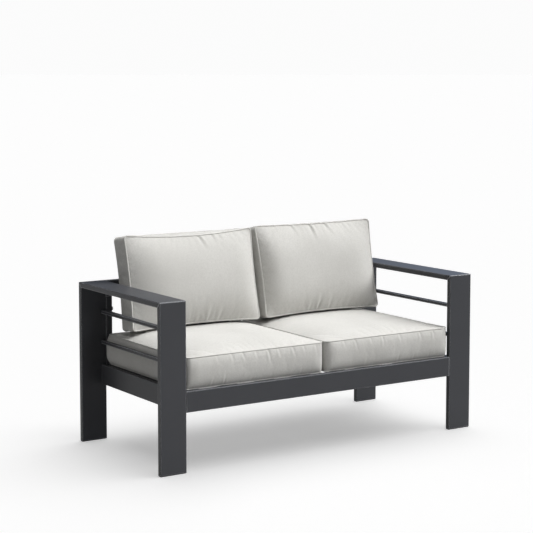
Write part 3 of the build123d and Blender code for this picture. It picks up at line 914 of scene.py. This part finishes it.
def make_cushion(side_name, side, kind, above):
    """A cushion's skin and its two cords, in place on their body. A seat stays under what stands on it."""
    fine, moves = filled(kind, side)
    to_frame = seat_place(side) if kind == "seat" else back_place(side)
    points, lines = sewn(fine, moves, LOOKS[kind][side], FILL_SEEDS[kind, side])
    points = to_frame(points)
    if above:
        press(points, fine.top_index, above)
    body = f"{side_name}_{kind}_cushion"
    skin = fine.mesh(f"{body}_skin", points)
    cords = [
        tube(f"{body}_{edge}_cord", line, CORD_RADIUS[kind], to_frame)
        for edge, line in zip(("lower", "upper"), lines)
    ]
    for piece, finish, slot in (
        (skin, fabric, "cushion_fabric"),
        (cords[0], piping_fabric, "piping_fabric"),
        (cords[1], piping_fabric, "piping_fabric"),
    ):
        piece.data.materials.append(finish)
        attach(piece, body)
    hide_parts(f"{body}_cover", f"{body}_foam")
    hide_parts(f"{body}_piping")
    return skin, cords[0]


fabric = woven_fabric("Cushion_Fabric", (0.505, 0.497, 0.472), (0.59, 0.582, 0.556), pitch=0.0016)
piping_fabric = woven_fabric("Piping_Fabric", (0.535, 0.527, 0.502), (0.62, 0.612, 0.587), pitch=0.0012)

for side_name, side in SIDES:
    back = make_cushion(side_name, side, "back", None)
    make_cushion(side_name, side, "seat", surface(back))


# Frame finishes

# The last colour is the painted edge highlight of the powder coat
coat = powder_coat("Frame_Powder_Coat", (0.049, 0.050, 0.054), (0.058, 0.059, 0.064), (0.34, 0.345, 0.36))
black_plastic = moulded_plastic("Foot_Plastic", (0.012, 0.012, 0.013), (0.0192, 0.0192, 0.0208))
steel = plated_steel("Plated_Steel", (0.32, 0.32, 0.33), (0.48, 0.48, 0.47))
finishes = {"frame_metal": coat, "foot_plastic": black_plastic, "fastener_steel": steel}
slots = {part["node"]: part["material_slot"] for part in frame["record"]["subparts"]}
for node, piece in frame["nodes"].items():
    if slots.get(node) in finishes:
        piece.data.materials.clear()
        piece.data.materials.append(finishes[slots[node]])


# Floor, light and camera

FLOOR_REACH = 2000.0
FLOOR_GLOW = 0.41
FLOOR_SEEN = (0.85, 0.85, 0.85)
FLOOR_UNSEEN = (0.5, 0.5, 0.5)
BACKGROUND = 0.92
WORLD_BASE = 0.05
BRIGHT_SIDE = (1.0, -0.2, 0.15)
BRIGHT_TINT = (0.78, 1.0, 1.4)
WHITE = (1, 1, 1)
HIGH_UP = ("back", "arm", "bar", "top")
CAMERA_DIP = 5.269
CAMERA_TURN = -33.098


def floor_material():
    """A white floor whose shadow is light to the camera, and that throws little light back up."""
    mat, nodes, links, shader = material("Studio_Floor")
    path = nodes.new("ShaderNodeLightPath")
    seen = add(nodes, "Math", operation="MAXIMUM")
    links.new(path.outputs["Is Camera Ray"], seen.inputs[0])
    links.new(path.outputs["Is Glossy Ray"], seen.inputs[1])
    colour = mix_colours(nodes, links, seen.outputs["Value"], FLOOR_UNSEEN, FLOOR_SEEN)
    links.new(colour, shader.inputs["Base Color"])
    shader.inputs["Roughness"].default_value = 1.0
    shader.inputs["Specular IOR Level"].default_value = 0.0
    shader.inputs["Emission Color"].default_value = (*WHITE, 1)
    glow = add(nodes, "Math", operation="MULTIPLY")
    glow.inputs[1].default_value = FLOOR_GLOW
    links.new(seen.outputs["Value"], glow.inputs[0])
    links.new(glow.outputs["Value"], shader.inputs["Emission Strength"])
    return mat


def studio_world():
    """A white background to the camera, a bright side that glossy pieces reflect, and faint light."""
    world = bpy.data.worlds.new("Studio")
    world.use_nodes = True
    nodes, links = world.node_tree.nodes, world.node_tree.links
    background = nodes["Background"]
    path = nodes.new("ShaderNodeLightPath")
    side = add(nodes, "VectorMath", operation="DOT_PRODUCT")
    links.new(nodes.new("ShaderNodeTexCoord").outputs["Generated"], side.inputs[0])
    side.inputs[1].default_value = Vector(BRIGHT_SIDE).normalized()
    reflected = add(nodes, "MapRange", From_Min=0.38, From_Max=0.6, To_Min=0.0, To_Max=0.8)
    links.new(side.outputs["Value"], reflected.inputs["Value"])
    glossy = add(nodes, "Math", operation="MULTIPLY_ADD")
    links.new(path.outputs["Is Glossy Ray"], glossy.inputs[0])
    links.new(reflected.outputs["Result"], glossy.inputs[1])
    glossy.inputs[2].default_value = WORLD_BASE
    strength = add(nodes, "Math", operation="MULTIPLY_ADD")
    links.new(path.outputs["Is Camera Ray"], strength.inputs[0])
    strength.inputs[1].default_value = BACKGROUND
    links.new(glossy.outputs["Value"], strength.inputs[2])
    links.new(strength.outputs["Value"], background.inputs["Strength"])
    tint = mix_colours(nodes, links, path.outputs["Is Glossy Ray"], WHITE, BRIGHT_TINT)
    links.new(tint, background.inputs["Color"])
    return world


def collection_of(name, pieces):
    """A collection for light linking, outside the scene."""
    group = bpy.data.collections.new(name)
    for piece in pieces:
        group.objects.link(piece)
    return group


def sun(name, source, energy, angle, lit, shading=None):
    """A soft sun from that direction, its angle in degrees, on the pieces that it lights."""
    data = bpy.data.lights.new(name, "SUN")
    data.energy = energy
    data.angle = math.radians(angle)
    lamp = new_object(name, data)
    lamp.rotation_euler = (-Vector(source)).to_track_quat("-Z", "Y").to_euler()
    lamp.light_linking.receiver_collection = lit
    if shading is not None:
        lamp.light_linking.blocker_collection = shading


floor_data = bpy.data.meshes.new("Studio_Floor")
floor_corners = [(x * FLOOR_REACH, y * FLOOR_REACH, 0) for x, y in ((-1, -1), (1, -1), (1, 1), (-1, 1))]
floor_data.from_pydata(floor_corners, [], [(0, 1, 2, 3)])
floor_data.materials.append(floor_material())
floor = new_object("Studio_Floor", floor_data)
bpy.context.scene.world = studio_world()

# The pieces that are high up don't shade the floor
dressed = [piece for piece in bpy.context.scene.objects if piece.type == "MESH" and piece != floor]
lower = [piece for piece in dressed if not any(word in piece.name for word in HIGH_UP)]
on_the_object = collection_of("Lit_By_Key", dressed)
on_the_floor = collection_of("Lit_By_Floor_Light", [floor])
low_pieces = collection_of("Shades_The_Floor", lower)
sun("Key", (0.85, -0.62, 0.95), energy=3.55, angle=40, lit=on_the_object)
sun("Top", (0.0, 0.0, 1.0), energy=2.0, angle=50, lit=on_the_object)
sun("Fill", (-1.0, -0.5, 0.0), energy=0.52, angle=60, lit=on_the_object)
sun("Floor_Light", (0.45, 0.05, 1.0), energy=2.15, angle=84, lit=on_the_floor, shading=low_pieces)

camera_data = bpy.data.cameras.new("Camera")
camera = new_object("Camera", camera_data)
camera_data.sensor_width = 36.0
camera_data.lens = 102.144
camera_data.shift_y = -0.1
camera_data.clip_start, camera_data.clip_end = 0.1, 5000.0
camera.location = (-3.18822, -4.80555, 1.39105)
camera.rotation_euler = (math.radians(90 - CAMERA_DIP), 0, math.radians(CAMERA_TURN))
bpy.context.scene.camera = camera

view = bpy.context.scene.view_settings
view.view_transform = "Standard"
